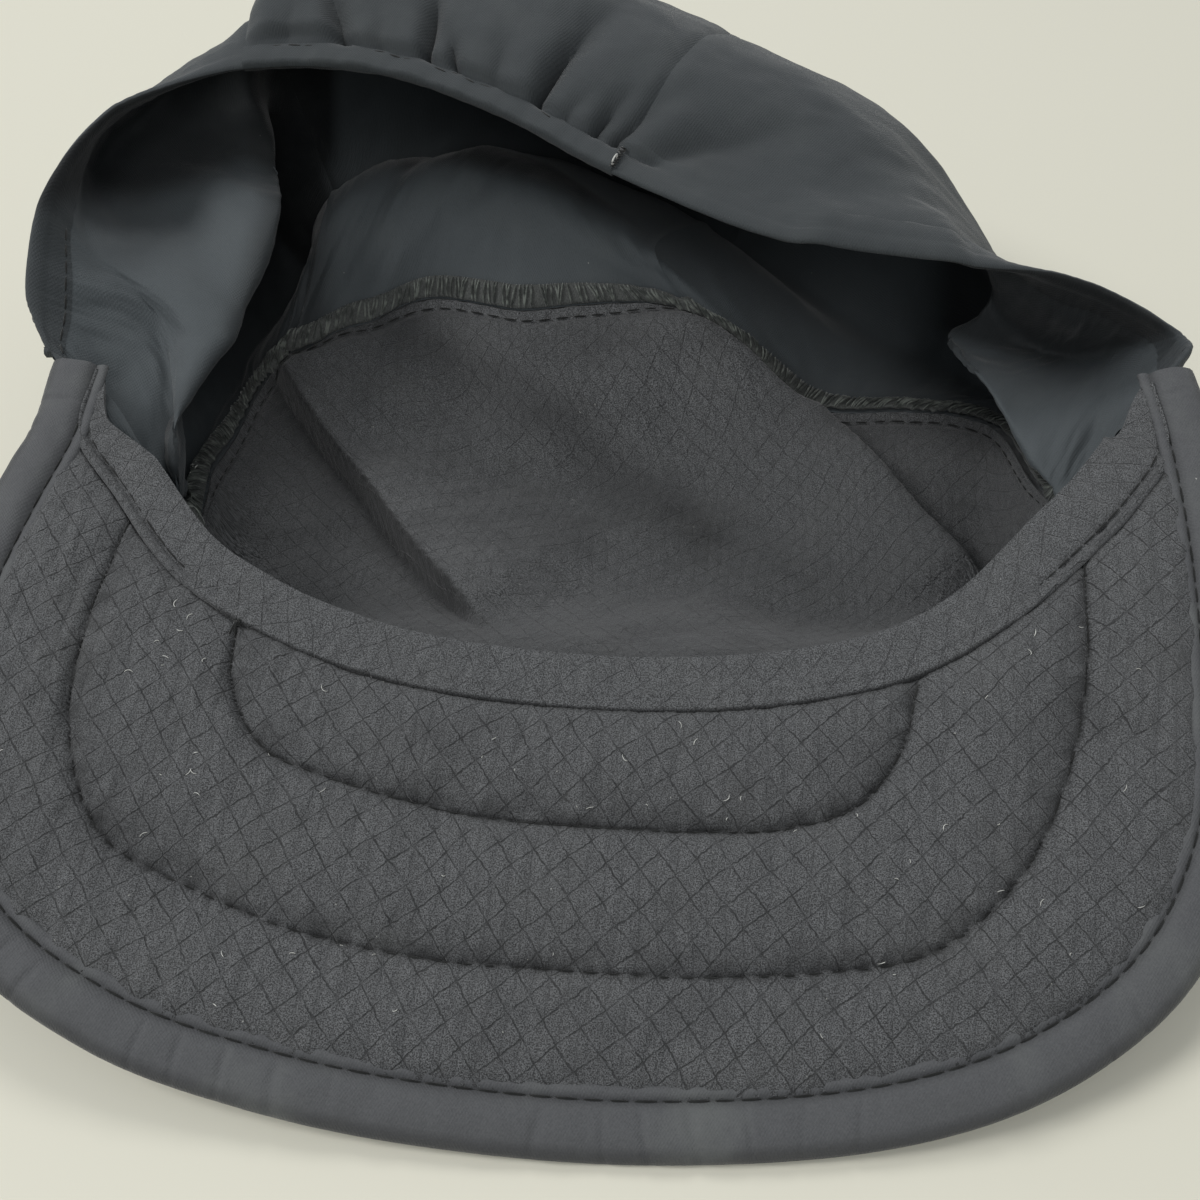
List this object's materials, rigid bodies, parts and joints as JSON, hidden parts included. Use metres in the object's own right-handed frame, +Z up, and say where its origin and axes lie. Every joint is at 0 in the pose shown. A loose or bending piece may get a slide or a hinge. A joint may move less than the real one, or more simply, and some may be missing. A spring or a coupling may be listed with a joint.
{
  "type": "running cap",
  "caption": "Soft unstructured running cap lying upside down: padded quilted brim, open crown with an overlocked front panel, side and back panels, hems and elastic casing.",
  "frame": {"origin": "below the middle of the bounding box, on the surface that the cap lies on", "axes": "+Z up; the brim points to -Y and the crown's top to +Y, which is the longest extent; +X is the right side as the picture shows it; Z is the shortest extent"},
  "size_m": [0.223, 0.2618, 0.0798],
  "materials": {
    "ripstop": "matte thin ripstop with a raised triangular grid",
    "stretch_cloth": "matte smooth stretch weave",
    "tape": "matte folded stretch tape",
    "overlock_thread": "matte overlock thread"
  },
  "bodies": {
    "root": {"brim": "ripstop", "brim_binding": "tape", "brim_seam_piping": "tape", "brim_facing": "ripstop", "front_panel": "ripstop", "left_side_panel": "stretch_cloth", "back_panel": "stretch_cloth", "right_side_panel": "stretch_cloth", "left_rim_hem": "stretch_cloth", "elastic_casing": "stretch_cloth", "right_rim_hem": "stretch_cloth", "front_seam_overlock": "overlock_thread"}
  },
  "joints": []
}
